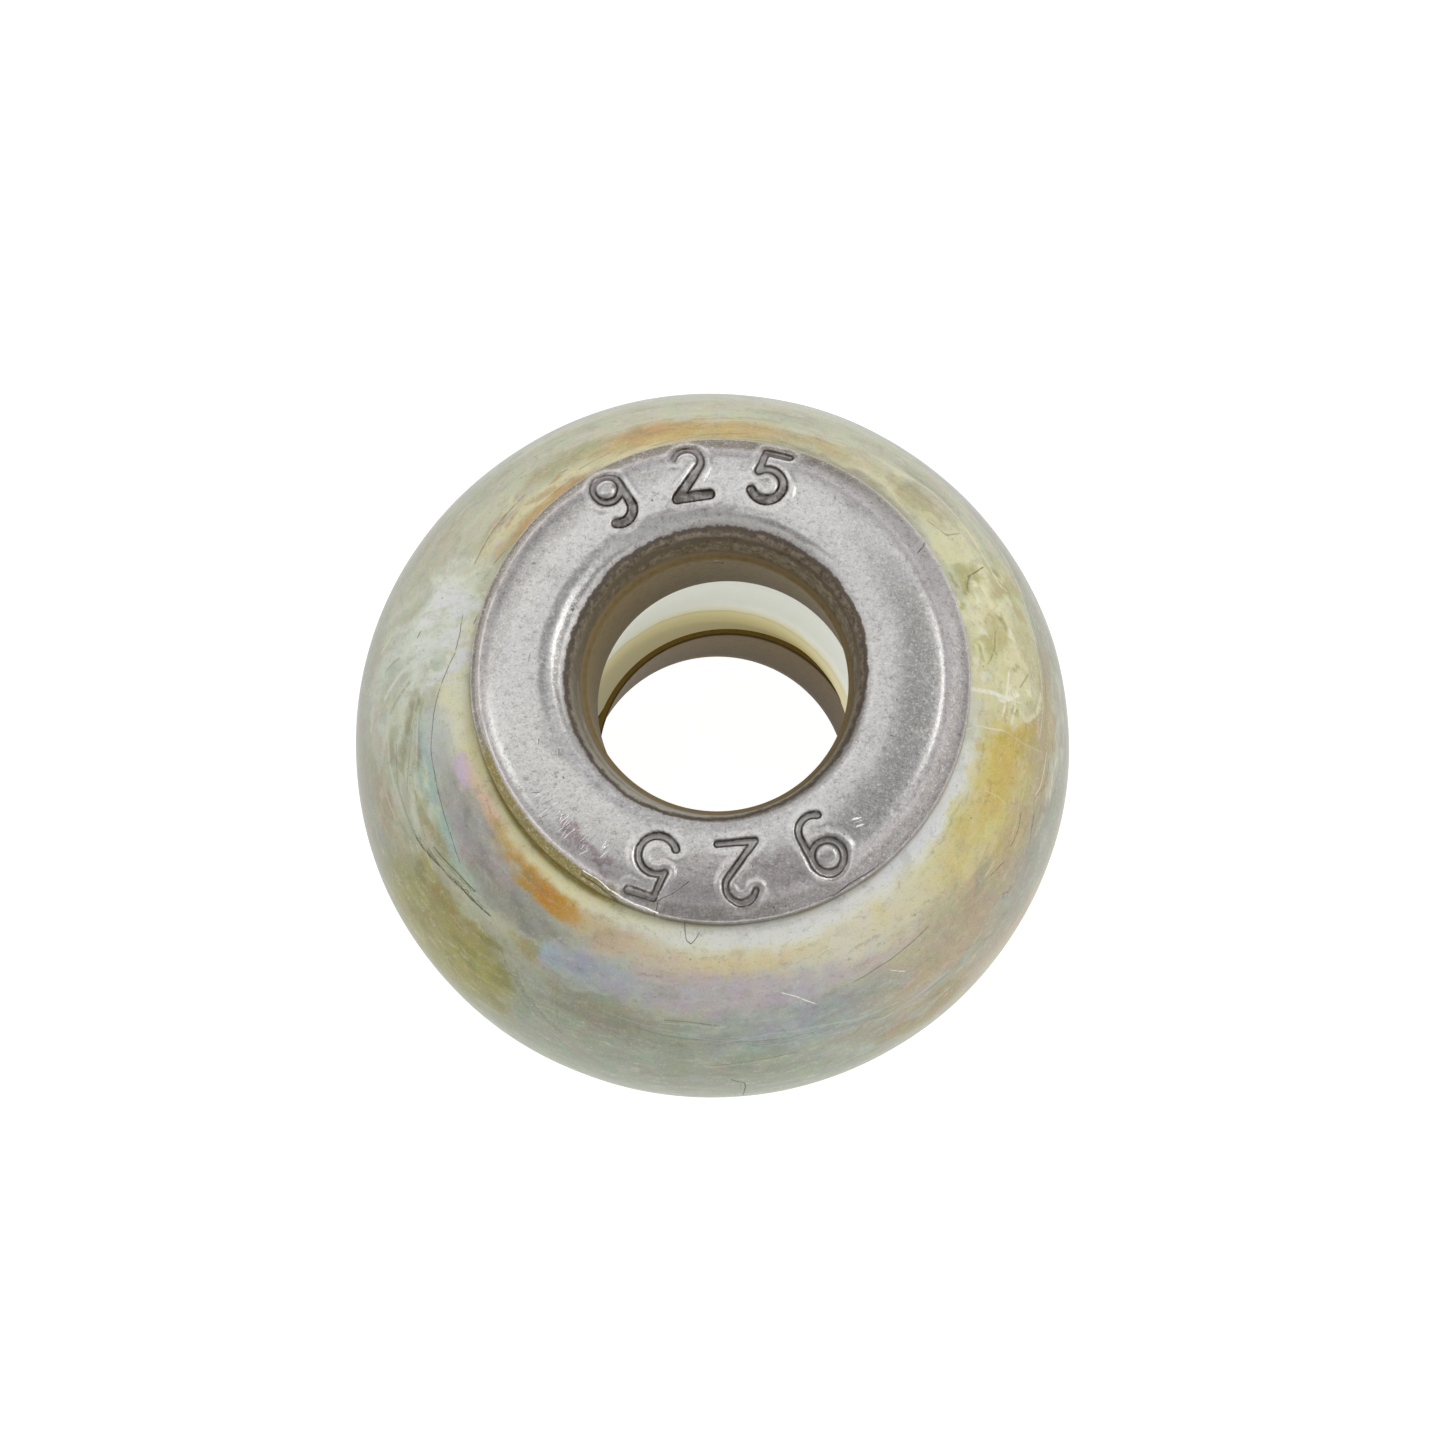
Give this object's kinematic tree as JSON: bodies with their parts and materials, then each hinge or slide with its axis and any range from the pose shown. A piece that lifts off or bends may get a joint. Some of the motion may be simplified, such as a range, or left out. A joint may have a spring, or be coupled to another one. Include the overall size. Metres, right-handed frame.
{
  "type": "european charm bead",
  "caption": "Round wound glass bead with a large bore, lined from both ends by flanged silver eyelets with domed faces.",
  "frame": {"origin": "on the axis of the bore, halfway between the outer faces of the two flanges", "axes": "+Z along the bore, out of the top eyelet; +Y towards the far side of the picture, where one group of numerals is centred; +X to the picture's right"},
  "size_m": [0.0129, 0.013, 0.0082],
  "materials": {
    "glass": "milky wound glass with a fired lustre skin",
    "silver": "sterling silver, satin worn, tarnished brown in the bore"
  },
  "bodies": {
    "root": {"glass_bead": "glass", "top_eyelet": "silver", "bottom_eyelet": "silver"}
  },
  "joints": []
}
